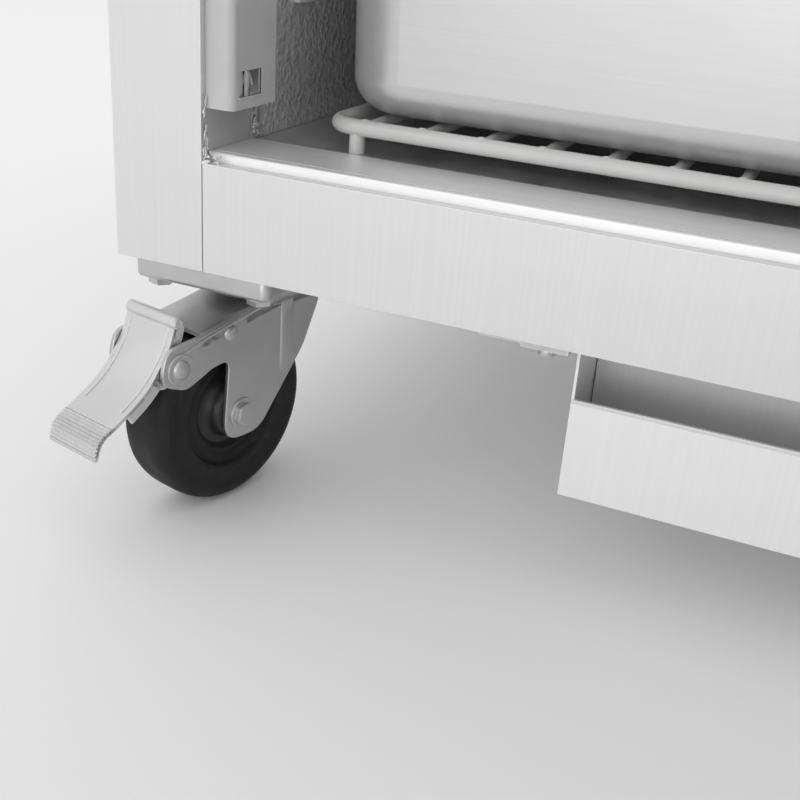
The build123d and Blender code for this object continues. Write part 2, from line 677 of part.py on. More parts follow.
def make_pedal():
    """Brake pedal: a rolled lip, a curved tread, a ribbed toe and two pivot ears."""
    half = fork_inside / 2 - side_play
    px, pz = brake_pivot
    upper = [(0.4, 21.9), (7.1, 5.4), (17.9, -6.7), (38.4, -19.2), (44.7, -21.4)]
    lower = [(48.2, -29.5), (42.0, -32.6), (36.6, -22.3), (16.1, -9.4), (4.9, 3.1), (-2.7, 19.6)]
    outline = [(px + along, pz + level) for along, level in upper + lower]
    tread = extrude(Plane.XZ * make_face(Polyline(*outline, close=True)), 2 * half)
    pieces = [Pos(0, half, 0) * tread]
    pieces.append(rod((px - 1.3, -half, pz + 21.4), (px - 1.3, half, pz + 21.4), 3.2))
    ear = [(-6, 0), (0, -6), (12.5, -8), (14.5, -3.6), (5.4, 7), (-0.9, 14), (-4.4, 7)]
    outline = [(px + along, pz + level) for along, level in ear]
    for y0 in (half - ear_sheet, -half):
        pieces.append(side_plate(outline, [(px, pz, 6.7)], y0, y0 + ear_sheet))
    pedal = fused(pieces)
    return pedal - rod((px, -half - 5, pz), (px, half + 5, pz), rivet_radius + running_fit)


def placed(shape, corner):
    """Moves a caster piece from its own frame to a corner of the cabinet."""
    x = left + swivel_x if "left" in corner else right - swivel_x
    y = front + swivel_y if "front" in corner else back - swivel_y
    return Pos(x, y, base) * Rot(0, 0, headings[corner]) * shape


def make_casters():
    pads = []
    for corner in headings:
        x = left + swivel_x if "left" in corner else right - swivel_x
        y = front + swivel_y if "front" in corner else back - swivel_y
        pad = Pos(x, y, base - 0.05 - pad_height / 2) * Box(pad_width, pad_depth, pad_height)
        pad = fillet(pad.edges().filter_by(Axis.Z), 4.0)
        pad = fillet(pad.edges().group_by(Axis.Z)[0], 2.0)
        pad += rod((x, y, base - pad_height), (x, y, base - pad_height - race_height), 27)
        pad += rod((x, y, base - pad_height), (x, y, base - pad_height - crown_drop - 4), axle_radius)
        pads.append(pad)
        braked = corner.startswith("front")
        parts["caster_fork_" + corner] = placed(make_fork(braked), corner)
        tyre = placed(make_tyre(), corner)
        hub = placed(make_hub(), corner)
        if braked:
            parts["caster_tyre_" + corner] = tyre
            parts["caster_hub_" + corner] = hub
            parts["brake_pedal_" + corner] = placed(make_pedal(), corner)
        else:
            parts["caster_wheel_" + corner] = group([tyre, hub])
    parts["caster_pads"] = group(pads)


make_shell()
make_stile(-1, "stile_left")
make_stile(1, "stile_right")
make_rails()
make_lining()
make_jamb_channel()
make_racks()
make_pans()
make_worktop()
make_board()
make_hood()
make_lid()
make_door()
make_evaporator()
make_condensing_unit()
make_controls()
make_intake_box()
make_casters()

os.makedirs("parts", exist_ok=True)
for name, shape in parts.items():
    shape.label = name
    export_step(shape, "parts/" + name + ".step")
print(len(parts), "parts written")
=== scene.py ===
import json
import math
import random

import bpy
import bmesh
from mathutils import Matrix, Vector


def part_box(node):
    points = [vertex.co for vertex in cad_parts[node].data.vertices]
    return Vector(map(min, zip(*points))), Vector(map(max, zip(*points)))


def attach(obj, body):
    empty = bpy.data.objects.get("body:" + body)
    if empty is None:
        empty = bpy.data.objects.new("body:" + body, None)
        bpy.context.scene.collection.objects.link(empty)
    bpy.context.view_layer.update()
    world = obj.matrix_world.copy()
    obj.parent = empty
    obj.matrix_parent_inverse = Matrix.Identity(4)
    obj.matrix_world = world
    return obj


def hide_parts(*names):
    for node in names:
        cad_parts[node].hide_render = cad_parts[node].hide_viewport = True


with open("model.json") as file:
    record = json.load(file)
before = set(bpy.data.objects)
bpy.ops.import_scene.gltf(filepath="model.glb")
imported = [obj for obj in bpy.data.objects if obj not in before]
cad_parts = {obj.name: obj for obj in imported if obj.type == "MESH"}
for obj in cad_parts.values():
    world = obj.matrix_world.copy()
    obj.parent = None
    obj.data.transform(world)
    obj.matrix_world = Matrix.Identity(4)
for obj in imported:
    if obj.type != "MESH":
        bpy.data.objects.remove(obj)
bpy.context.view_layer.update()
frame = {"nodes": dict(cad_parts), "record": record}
mm = 0.001
random.seed(7)
print("frame loaded,", len(frame["nodes"]), "CAD nodes")


# small helpers for nodes and meshes

def newGroup(name, inputs, outputs):
    group = bpy.data.node_groups.new(name, "ShaderNodeTree")
    for label, kind, value in inputs:
        socket = group.interface.new_socket(name=label, in_out="INPUT", socket_type=kind)
        socket.default_value = value
    for label, kind in outputs:
        group.interface.new_socket(name=label, in_out="OUTPUT", socket_type=kind)
    return group, group.nodes.new("NodeGroupInput"), group.nodes.new("NodeGroupOutput")


def addNode(tree, kind, values=None, **settings):
    node = tree.nodes.new(kind)
    for key, value in settings.items():
        setattr(node, key, value)
    for key, value in (values or {}).items():
        node.inputs[key].default_value = value
    return node


def join(tree, source, target):
    tree.links.new(source, target)


def noiseOn(tree, vector, scale, detail=4.0, roughness=0.55):
    noise = addNode(tree, "ShaderNodeTexNoise", {"Detail": detail, "Roughness": roughness})
    join(tree, vector, noise.inputs["Vector"])
    if isinstance(scale, (int, float)):
        noise.inputs["Scale"].default_value = scale
    else:
        join(tree, scale, noise.inputs["Scale"])
    return noise


def mathOn(tree, operation, first, second, clamp=False):
    node = addNode(tree, "ShaderNodeMath", operation=operation, use_clamp=clamp)
    for index, value in enumerate((first, second)):
        if isinstance(value, (int, float)):
            node.inputs[index].default_value = value
        else:
            join(tree, value, node.inputs[index])
    return node.outputs[0]


def rangeOn(tree, value, low, high, newLow, newHigh):
    node = addNode(tree, "ShaderNodeMapRange", {"From Min": low, "From Max": high, "To Min": newLow,
                                                "To Max": newHigh})
    join(tree, value, node.inputs["Value"])
    return node.outputs["Result"]


def mixColours(tree, mask, first, second):
    node = addNode(tree, "ShaderNodeMix", data_type="RGBA")
    join(tree, mask, node.inputs[0])
    for index, value in ((6, first), (7, second)):
        if isinstance(value, tuple):
            node.inputs[index].default_value = value
        else:
            join(tree, value, node.inputs[index])
    return node.outputs[2]


# shader groups that several finishes share

def buildBrushedGrain():
    group, start, end = newGroup(
        "brushedGrain",
        [("Across", "NodeSocketFloat", 900.0), ("Along", "NodeSocketFloat", 6.0),
         ("Level", "NodeSocketFloat", 900.0)],
        [("Streak", "NodeSocketFloat"), ("Cloud", "NodeSocketFloat")])
    place = addNode(group, "ShaderNodeTexCoord")
    stretch = addNode(group, "ShaderNodeCombineXYZ")
    for label, axis in (("Across", "X"), ("Level", "Y"), ("Along", "Z")):
        join(group, start.outputs[label], stretch.inputs[axis])
    scaled = addNode(group, "ShaderNodeVectorMath", operation="MULTIPLY")
    join(group, place.outputs["Object"], scaled.inputs[0])
    join(group, stretch.outputs[0], scaled.inputs[1])
    fine = noiseOn(group, scaled.outputs[0], 1.0, 3.0, 0.6)
    cloud = noiseOn(group, place.outputs["Object"], 9.0, 3.0)
    join(group, fine.outputs["Fac"], end.inputs["Streak"])
    join(group, cloud.outputs["Fac"], end.inputs["Cloud"])
    return group


def buildEdgeWear():
    group, start, end = newGroup(
        "edgeWear",
        [("Reach", "NodeSocketFloat", 0.0009), ("Break Up", "NodeSocketFloat", 260.0)],
        [("Mask", "NodeSocketFloat")])
    place = addNode(group, "ShaderNodeTexCoord")
    shape = addNode(group, "ShaderNodeNewGeometry")
    rounded = addNode(group, "ShaderNodeBevel")
    rounded.samples = 4
    join(group, start.outputs["Reach"], rounded.inputs["Radius"])
    facing = addNode(group, "ShaderNodeVectorMath", operation="DOT_PRODUCT")
    join(group, rounded.outputs["Normal"], facing.inputs[0])
    join(group, shape.outputs["Normal"], facing.inputs[1])
    edge = rangeOn(group, facing.outputs["Value"], 0.8, 0.985, 1.0, 0.0)
    noise = noiseOn(group, place.outputs["Object"], start.outputs["Break Up"], 5.0, 0.65)
    broken = mathOn(group, "MULTIPLY", edge, rangeOn(group, noise.outputs["Fac"], 0.35, 0.6, 0.15, 1.0),
                    True)
    join(group, broken, end.inputs["Mask"])
    return group


def buildSpeckle():
    group, start, end = newGroup(
        "speckle",
        [("Size", "NodeSocketFloat", 900.0), ("Patch Size", "NodeSocketFloat", 20.0)],
        [("Grain", "NodeSocketFloat"), ("Patch", "NodeSocketFloat"), ("Marks", "NodeSocketFloat")])
    place = addNode(group, "ShaderNodeTexCoord")
    grain = noiseOn(group, place.outputs["Object"], start.outputs["Size"], 2.0)
    patch = noiseOn(group, place.outputs["Object"], start.outputs["Patch Size"], 5.0, 0.6)
    join(group, grain.outputs["Fac"], end.inputs["Grain"])
    join(group, patch.outputs["Fac"], end.inputs["Patch"])
    join(group, rangeOn(group, patch.outputs["Fac"], 0.58, 0.72, 0.0, 1.0), end.inputs["Marks"])
    return group


def buildStucco():
    group, start, end = newGroup("stucco", [("Cell Size", "NodeSocketFloat", 260.0)],
                                 [("Height", "NodeSocketFloat"), ("Painted Crest Highlight", "NodeSocketFloat")])
    place = addNode(group, "ShaderNodeTexCoord")
    warp = noiseOn(group, place.outputs["Object"], 160.0, 2.0)
    bend = addNode(group, "ShaderNodeVectorMath", operation="MULTIPLY_ADD")
    join(group, warp.outputs["Color"], bend.inputs[0])
    bend.inputs[1].default_value = (0.006, 0.006, 0.006)
    join(group, place.outputs["Object"], bend.inputs[2])
    cells = addNode(group, "ShaderNodeTexVoronoi", feature="SMOOTH_F1")
    cells.inputs["Smoothness"].default_value = 0.6
    join(group, bend.outputs[0], cells.inputs["Vector"])
    join(group, start.outputs["Cell Size"], cells.inputs["Scale"])
    join(group, rangeOn(group, cells.outputs["Distance"], 0.1, 0.6, 1.0, 0.0), end.inputs["Height"])
    # this mask marks the bump tops; it only carries the painted highlight on the stucco crests
    join(group, rangeOn(group, cells.outputs["Distance"], 0.08, 0.22, 1.0, 0.0), end.inputs["Painted Crest Highlight"])
    return group


groups = {"grain": buildBrushedGrain(), "wear": buildEdgeWear(), "speckle": buildSpeckle(),
          "stucco": buildStucco()}


def useGroup(tree, name, values=None):
    node = tree.nodes.new("ShaderNodeGroup")
    node.node_tree = groups[name]
    for key, value in (values or {}).items():
        node.inputs[key].default_value = value
    return node


def newMaterial(name, **sockets):
    material = bpy.data.materials.new(name)
    material.use_nodes = True
    shader = material.node_tree.nodes["Principled BSDF"]
    for key, value in sockets.items():
        shader.inputs[key.replace("_", " ")].default_value = value
    return material, material.node_tree, shader


def bumpInto(tree, shader, height, strength, distance):
    bump = addNode(tree, "ShaderNodeBump", {"Strength": strength, "Distance": distance})
    join(tree, height, bump.inputs["Height"])
    join(tree, bump.outputs["Normal"], shader.inputs["Normal"])


def grey(value):
    return (value, value, value, 1.0)


# finishes

def makeBrushed(name, tone, darker, rough, along):
    material, tree, shader = newMaterial(name, Metallic=0.55, IOR=1.5)
    values = {"Across": 700.0, "Level": 700.0, "Along": 5.0}
    if along == "X":
        values = {"Across": 5.0, "Level": 700.0, "Along": 700.0}
    grain = useGroup(tree, "grain", values)
    wear = useGroup(tree, "wear")
    streak = rangeOn(tree, grain.outputs["Streak"], 0.3, 0.7, 0.0, 1.0)
    base = mixColours(tree, streak, grey(darker), grey(tone))
    join(tree, mixColours(tree, wear.outputs["Mask"], base, grey(0.95)), shader.inputs["Base Color"])
    blurred = mathOn(tree, "MULTIPLY", grain.outputs["Cloud"], 0.12)
    streaked = mathOn(tree, "MULTIPLY", streak, 0.05)
    rougher = mathOn(tree, "ADD", mathOn(tree, "ADD", blurred, streaked), rough - 0.08)
    join(tree, rougher, shader.inputs["Roughness"])
    bumpInto(tree, shader, grain.outputs["Streak"], 0.05, 0.0002)
    return material


def makeZinc(name, tone, darker, rough, grainSize):
    material, tree, shader = newMaterial(name, Metallic=0.9)
    speckle = useGroup(tree, "speckle", {"Size": grainSize, "Patch Size": 45.0})
    wear = useGroup(tree, "wear", {"Break Up": 500.0})
    base = mixColours(tree, speckle.outputs["Patch"], grey(darker), grey(tone))
    join(tree, mixColours(tree, wear.outputs["Mask"], base, grey(0.92)), shader.inputs["Base Color"])
    join(tree, rangeOn(tree, speckle.outputs["Patch"], 0.3, 0.7, rough - 0.08, rough + 0.1),
         shader.inputs["Roughness"])
    bumpInto(tree, shader, speckle.outputs["Grain"], 0.08, 0.0002)
    return material


def makeRubber(name, tone, dustTone, rough):
    material, tree, shader = newMaterial(name, IOR=1.48)
    speckle = useGroup(tree, "speckle", {"Size": 1400.0, "Patch Size": 70.0})
    wear = useGroup(tree, "wear", {"Reach": 0.0015, "Break Up": 300.0})
    scuffed = mathOn(tree, "MULTIPLY", speckle.outputs["Marks"], 0.35)
    dusty = mathOn(tree, "ADD", scuffed, mathOn(tree, "MULTIPLY", wear.outputs["Mask"], 0.3), True)
    join(tree, mixColours(tree, dusty, grey(tone), grey(dustTone)), shader.inputs["Base Color"])
    join(tree, rangeOn(tree, speckle.outputs["Patch"], 0.3, 0.7, rough - 0.1, rough + 0.12),
         shader.inputs["Roughness"])
    bumpInto(tree, shader, speckle.outputs["Grain"], 0.18, 0.0003)
    return material


def makePlastic(name, colour, rough, texture=0.1, coat=0.0):
    material, tree, shader = newMaterial(name, IOR=1.46, Coat_Weight=coat, Coat_Roughness=0.2)
    speckle = useGroup(tree, "speckle", {"Size": 1800.0, "Patch Size": 14.0})
    shade = tuple(channel * 0.9 for channel in colour) + (1.0,)
    join(tree, mixColours(tree, rangeOn(tree, speckle.outputs["Patch"], 0.35, 0.65, 0.0, 1.0), shade,
                          colour + (1.0,)),
         shader.inputs["Base Color"])
    join(tree, rangeOn(tree, speckle.outputs["Patch"], 0.3, 0.7, rough - 0.06, rough + 0.08),
         shader.inputs["Roughness"])
    bumpInto(tree, shader, speckle.outputs["Grain"], texture, 0.0002)
    return material


def makeStuccoSheet(name, tone, crestHighlight):
    material, tree, shader = newMaterial(name, Metallic=0.4)
    stucco = useGroup(tree, "stucco")
    speckle = useGroup(tree, "speckle", {"Patch Size": 25.0})
    base = mixColours(tree, speckle.outputs["Patch"], grey(tone * 0.8), grey(tone))
    # painted highlight: the colour of the bump crests is mixed toward a near-white tone
    join(tree, mixColours(tree, stucco.outputs["Painted Crest Highlight"], base, grey(crestHighlight)), shader.inputs["Base Color"])
    join(tree, rangeOn(tree, stucco.outputs["Height"], 0.0, 1.0, 0.42, 0.26), shader.inputs["Roughness"])
    bumpInto(tree, shader, stucco.outputs["Height"], 0.9, 0.0009)
    return material


def makeBoard(name):
    material, tree, shader = newMaterial(name, Subsurface_Weight=0.1,
                                         Subsurface_Radius=(0.004, 0.004, 0.004), IOR=1.5)
    speckle = useGroup(tree, "speckle", {"Size": 900.0, "Patch Size": 8.0})
    cuts = useGroup(tree, "grain", {"Across": 30.0, "Level": 900.0, "Along": 900.0})
    marks = rangeOn(tree, cuts.outputs["Streak"], 0.66, 0.72, 0.0, 0.35)
    join(tree, mixColours(tree, marks, grey(0.86), grey(0.62)), shader.inputs["Base Color"])
    join(tree, rangeOn(tree, speckle.outputs["Patch"], 0.3, 0.7, 0.42, 0.6), shader.inputs["Roughness"])
    bumpInto(tree, shader, mathOn(tree, "SUBTRACT", speckle.outputs["Grain"], marks), 0.12, 0.0003)
    return material


def makeFoam(name):
    material, tree, shader = newMaterial(name)
    speckle = useGroup(tree, "speckle", {"Size": 420.0, "Patch Size": 60.0})
    join(tree, mixColours(tree, speckle.outputs["Patch"], (0.62, 0.55, 0.33, 1), (0.78, 0.71, 0.48, 1)),
         shader.inputs["Base Color"])
    join(tree, rangeOn(tree, speckle.outputs["Grain"], 0.3, 0.7, 0.75, 0.95), shader.inputs["Roughness"])
    bumpInto(tree, shader, speckle.outputs["Grain"], 0.5, 0.0012)
    return material


finishes = {
    "brushed_stainless": makeBrushed("brushedStainless", 0.715, 0.685, 0.42, "Z"),
    "top_stainless": makeBrushed("topStainless", 0.80, 0.73, 0.34, "X"),
    # painted light: a brighter copy of the brushed stainless for the threshold strip, standing in for the
    # light on the ledge
    "ledge_painted_light_stainless": makeBrushed("ledgePaintedLightStainless", 0.97, 0.92, 0.4, "X"),
    # painted light: a brighter copy of the brushed stainless for the intake box, standing in for the light
    # on its inner walls
    "box_painted_light_stainless": makeBrushed("boxPaintedLightStainless", 0.86, 0.83, 0.42, "Z"),
    "pan_steel": makeBrushed("panSteel", 0.60, 0.57, 0.36, "X"),
    "zinc_plate": makeZinc("zincPlate", 0.60, 0.45, 0.36, 900.0),
    # painted light: a brighter copy of the zinc plating for the brake pedals, standing in for the light
    # they catch
    "pedal_steel": makeZinc("pedalSteel", 0.72, 0.62, 0.40, 1500.0),
    "black_rubber": makeRubber("blackRubber", 0.004, 0.05, 0.62),
    "black_plastic": makePlastic("blackPlastic", (0.022, 0.022, 0.022), 0.38, 0.12),
    # stucco liner: tone 0.84 with a painted highlight of 0.97 on the bump crests
    "stucco_aluminium": makeStuccoSheet("stuccoAluminium", 0.84, 0.97),
    "coated_wire": makePlastic("coatedWire", (0.62, 0.62, 0.61), 0.3, 0.04, 0.25),
    "grey_plastic": makePlastic("greyPlastic", (0.56, 0.56, 0.56), 0.45),
    "board_plastic": makeBoard("boardPlastic"),
    "linerFloor": makeZinc("linerFloor", 0.80, 0.70, 0.36, 300.0),
    "grey_gasket": makePlastic("gasketVinyl", (0.36, 0.36, 0.37), 0.55, 0.15),
    "foam": makeFoam("blownFoam"),
    "fin_aluminium": makeZinc("finAluminium", 0.78, 0.66, 0.3, 1200.0),
    "white_steel": makePlastic("whiteSteel", (0.78, 0.78, 0.77), 0.34, 0.05, 0.3),
    "black_steel": makePlastic("blackSteel", (0.016, 0.016, 0.017), 0.26, 0.06, 0.5),
}


def makeCopper(name):
    material, tree, shader = newMaterial(name, Metallic=0.95)
    speckle = useGroup(tree, "speckle", {"Size": 1200.0, "Patch Size": 30.0})
    join(tree, mixColours(tree, speckle.outputs["Patch"], (0.42, 0.17, 0.08, 1), (0.72, 0.34, 0.18, 1)),
         shader.inputs["Base Color"])
    join(tree, rangeOn(tree, speckle.outputs["Patch"], 0.3, 0.7, 0.26, 0.42), shader.inputs["Roughness"])
    bumpInto(tree, shader, speckle.outputs["Grain"], 0.05, 0.0002)
    return material


def makeLight(name):
    material, tree, shader = newMaterial(name, Base_Color=(0.5, 0.03, 0.02, 1.0), Roughness=0.4,
                                         Emission_Strength=2.0)
    speckle = useGroup(tree, "speckle", {"Size": 1500.0, "Patch Size": 60.0})
    glow = mixColours(tree, speckle.outputs["Patch"], (0.9, 0.05, 0.02, 1), (1.0, 0.1, 0.04, 1))
    join(tree, glow, shader.inputs["Emission Color"])
    return material


finishes["copperPipe"] = makeCopper("copperPipe")
finishes["displayGlass"] = makePlastic("displayGlass", (0.008, 0.008, 0.009), 0.12, 0.01, 0.6)
finishes["displayLight"] = makeLight("displayLight")
print("finishes ready")

slotOf = {row["node"]: row["material_slot"] for row in frame["record"]["subparts"]}
# the threshold strip and the intake box take the brighter painted-light copies of the stainless
specialFinish = {"liner_floor": "linerFloor", "threshold_strip": "ledge_painted_light_stainless",
                 "intake_box": "box_painted_light_stainless", "worktop": "top_stainless", "hood_rear": "top_stainless",
                 "lid": "top_stainless"}
edgeRound = {
    "default": 0.35, "worktop": 0.7, "lid": 0.7, "hood_rear": 0.6, "door_body": 0.9, "door_liner": 1.2,
    "cutting_board": 0.5, "caster_pads": 0.5, "storage_pan": 0.0, "food_pan_1": 0.0, "food_pan_2": 0.0,
    "food_pan_3": 0.0, "floor_rack": 0.0, "wire_shelf": 0.0, "evaporator_coil": 0.0, "condenser": 0.0,
    "foam_body": 0.0,
}


def dressNode(name, piece):
    finish = finishes[specialFinish.get(name, slotOf[name])]
    piece.data.materials.clear()
    piece.data.materials.append(finish)
    width = edgeRound.get(name, edgeRound["default"])
    if width:
        weld = piece.modifiers.new("weld", "WELD")
        weld.merge_threshold = 0.00001
        bevel = piece.modifiers.new("edges", "BEVEL")
        bevel.width = width * mm
        bevel.segments = 2
        bevel.limit_method = "ANGLE"
        bevel.angle_limit = math.radians(38)
        bevel.harden_normals = True


for nodeName, nodePiece in frame["nodes"].items():
    dressNode(nodeName, nodePiece)
print("CAD nodes dressed")


# tools for the detail pieces

def addPiece(name, verts, faces, slotName, body, place=None, smooth=True, sharp=35, round=0.0, finish=None):
    mesh = bpy.data.meshes.new(name)
    mesh.from_pydata([tuple(value * mm for value in vert) for vert in verts], [], faces)
    work = bmesh.new()
    work.from_mesh(mesh)
    bmesh.ops.recalc_face_normals(work, faces=work.faces)
    work.to_mesh(mesh)
    work.free()
    if smooth:
        mesh.polygons.foreach_set("use_smooth", [True] * len(mesh.polygons))
        mesh.set_sharp_from_angle(angle=math.radians(sharp))
    mesh.materials.append(finishes[finish or slotName])
    piece = bpy.data.objects.new(name, mesh)
    bpy.context.scene.collection.objects.link(piece)
    if place is not None:
        piece.matrix_world = place
    if round:
        bevel = piece.modifiers.new("edges", "BEVEL")
        bevel.width = round * mm
        bevel.segments = 2
        bevel.limit_method = "ANGLE"
        bevel.angle_limit = math.radians(40)
    bpy.context.view_layer.update()
    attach(piece, body)
    return piece


def addTube(name, points, radius, slotName, body, place=None, closed=False, curved=True, finish=None):
    curve = bpy.data.curves.new(name, "CURVE")
    curve.dimensions = "3D"
    curve.bevel_depth = radius * mm
    curve.bevel_resolution = 4
    curve.use_fill_caps = True
    spline = curve.splines.new("NURBS" if curved else "POLY")
    spline.points.add(len(points) - 1)
    for slotPoint, point in zip(spline.points, points):
        slotPoint.co = (*(value * mm for value in point), 1.0)
    spline.use_cyclic_u = closed
    if curved:
        spline.use_endpoint_u = not closed
        spline.order_u = 3
        spline.resolution_u = 8
    curve.materials.append(finishes[finish or slotName])
    piece = bpy.data.objects.new(name, curve)
    bpy.context.scene.collection.objects.link(piece)
    if place is not None:
        piece.matrix_world = place
    bpy.context.view_layer.update()
    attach(piece, body)
    return piece


def merged(*shapes):
    verts, faces = [], []
    for shapeVerts, shapeFaces in shapes:
        start = len(verts)
        verts.extend(shapeVerts)
        faces.extend(tuple(start + index for index in face) for face in shapeFaces)
    return verts, faces


def blockShape(low, high):
    x0, y0, z0 = low
    x1, y1, z1 = high
    verts = [(x0, y0, z0), (x1, y0, z0), (x1, y1, z0), (x0, y1, z0), (x0, y0, z1), (x1, y0, z1),
             (x1, y1, z1), (x0, y1, z1)]
    return verts, [(0, 1, 2, 3), (4, 5, 6, 7), (0, 1, 5, 4), (1, 2, 6, 5), (2, 3, 7, 6), (3, 0, 4, 7)]


def turned(profile, centre, axis, count=48, closed=False):
    axis = Vector(axis).normalized()
    side = axis.orthogonal().normalized()
    other = axis.cross(side)
    centre = Vector(centre)
    verts, faces = [], []
    for step in range(count):
        angle = 2 * math.pi * step / count
        spoke = side * math.cos(angle) + other * math.sin(angle)
        verts.extend(tuple(centre + spoke * radius + axis * along) for radius, along in profile)
    size = len(profile)
    for step in range(count):
        after = (step + 1) % count
        for index in range(size if closed else size - 1):
            follow = (index + 1) % size
            faces.append((step * size + index, step * size + follow, after * size + follow,
                          after * size + index))
    return verts, faces


def domed(centre, axis, radius, height, count=24):
    profile = [(0.0001, height)]
    for step in range(1, 7):
        angle = math.pi / 2 * step / 6
        profile.append((radius * math.sin(angle), height * math.cos(angle)))
    profile.append((radius, -0.4))
    return turned(profile, centre, axis, count)


def washer(centre, axis, radius, height, count=32):
    soft = min(0.35, height / 3)
    profile = [(0.0001, height), (radius - soft, height), (radius, height - soft), (radius, -0.2),
               (0.0001, -0.2)]
    return turned(profile, centre, axis, count)


def hexHead(centre, axis, radius, height):
    profile = [(0.0001, height), (radius * 0.84, height), (radius, height * 0.8), (radius, -0.2),
               (0.0001, -0.2)]
    return turned(profile, centre, axis, 6)


def screwHead(centre, axis, radius, height):
    profile = [(0.0001, height * 0.55), (radius * 0.3, height * 0.55), (radius * 0.34, height)]
    for step in range(1, 5):
        angle = math.pi / 2 * step / 4
        profile.append((radius * (0.34 + 0.66 * math.sin(angle)), height * math.cos(angle)))
    profile.append((radius, -0.2))
    return turned(profile, centre, axis, 20)


def filleted(corners, steps=7):
    outline = []
    count = len(corners)
    for index, (x, y, radius) in enumerate(corners):
        here = Vector((x, y))
        before = Vector(corners[index - 1][:2]) - here
        after = Vector(corners[(index + 1) % count][:2]) - here
        half = before.angle(after) / 2
        if radius <= 0 or half > math.radians(88):
            outline.append((x, y))
            continue
        reach = min(radius / math.tan(half), before.length * 0.48, after.length * 0.48)
        first = here + before.normalized() * reach
        last = here + after.normalized() * reach
        for step in range(steps + 1):
            t = step / steps
            point = first * (1 - t) ** 2 + here * 2 * t * (1 - t) + last * t ** 2
            outline.append((point.x, point.y))
    return outline


def prism(outline, y0, y1):
    count = len(outline)
    verts = [(x, y0, z) for x, z in outline] + [(x, y1, z) for x, z in outline]
    faces = [tuple(range(count)), tuple(range(2 * count - 1, count - 1, -1))]
    faces += [(index, (index + 1) % count, count + (index + 1) % count, count + index)
              for index in range(count)]
    return verts, faces


def smoothLine(points, steps=6):
    line = []
    for index in range(len(points) - 1):
        p0 = Vector(points[max(index - 1, 0)])
        p1 = Vector(points[index])
        p2 = Vector(points[index + 1])
        p3 = Vector(points[min(index + 2, len(points) - 1)])
        for step in range(steps):
            t = step / steps
            line.append(0.5 * (2 * p1 + (p2 - p0) * t + (2 * p0 - 5 * p1 + 4 * p2 - p3) * t ** 2
                               + (3 * p1 - p0 - 3 * p2 + p3) * t ** 3))
    line.append(Vector(points[-1]))
    return line


def sheetAlong(line, thickness, y0, y1):
    count = len(line)
    upper, lower = [], []
    for index, point in enumerate(line):
        ahead = line[min(index + 1, count - 1)] - line[max(index - 1, 0)]
        normal = Vector((-ahead.y, ahead.x)).normalized()
        upper.append(point)
        lower.append(point - normal * thickness)
    loop = upper + lower[::-1]
    verts = [(point.x, y0, point.y) for point in loop] + [(point.x, y1, point.y) for point in loop]
    size = len(loop)
    faces = [(index, (index + 1) % size, size + (index + 1) % size, size + index) for index in range(size)]
    for index in range(count - 1):
        mirror = size - 1 - index
        faces.append((index, index + 1, mirror - 1, mirror))
        faces.append((size + index, size + mirror, size + mirror - 1, size + index + 1))
    return verts, faces


# casters

caster = {
    "base": 128.6, "trail": 25.0, "axleLevel": -78.6,
    "halfInside": 17.0, "sheet": 2.4, "pivot": (65.5, -42.9), "padBottom": -9.8,
    "foldRadius": 3.2, "ribCount": 10, "ribHeight": 0.45,
}
corners = {
    "front_left": ((-305.5, -300.0), -104.4), "front_right": ((305.5, -300.0), -84.0),
    "rear_left": ((-305.5, 300.0), -97.0), "rear_right": ((305.5, 300.0), -76.0),
}
bevelEdge = 0.45


def casterPlace(corner):
    (x, y), heading = corners[corner]
    return Matrix.Translation((x * mm, y * mm,
                               caster["base"] * mm)) @ Matrix.Rotation(math.radians(heading), 4, "Z")


def addWheel(corner):
    place = casterPlace(corner)
    centre = (caster["trail"], 0, caster["axleLevel"])
    side = [
        (50.0, 0.0), (50.0, 5.0), (49.8, 8.0), (49.1, 10.8), (47.6, 13.0), (45.4, 14.5), (43.6, 15.0),
        (42.4, 14.8),
        (41.4, 14.1), (38.5, 13.5), (35.2, 13.4), (33.8, 13.7), (32.6, 14.2), (31.4, 13.9), (30.6, 12.6),
        (29.8, 10.8),
        (28.0, 10.0), (25.6, 9.9), (24.4, 10.4), (23.2, 10.9), (22.0, 10.4), (21.2, 8.8), (19.6, 8.0)]
    tyreProfile = [(radius, along) for radius, along in side] + [(radius, -along) for radius,
                                                                 along in reversed(side[1:])]
    hubSide = [(19.8, 8.1), (17.0, 8.2), (15.2, 9.2), (14.0, 12.0), (13.2, 15.6), (11.8, 16.4), (5.4, 16.5)]
    hubProfile = [(radius, along) for radius, along in hubSide] + [(radius, -along) for radius,
                                                                   along in reversed(hubSide)]
    body = "wheel_" + corner
    tyre = addPiece("tyre_" + corner, *turned(tyreProfile, centre, (0, 1, 0), 96, True), "black_rubber",
                    body, place, sharp=60)
    hub = addPiece("hub_" + corner, *turned(hubProfile, centre, (0, 1, 0), 64, True), "black_plastic",
                   body, place, sharp=50)
    if corner.startswith("front"):
        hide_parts("caster_tyre_" + corner)
        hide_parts("caster_hub_" + corner)
    else:
        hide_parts("caster_wheel_" + corner)


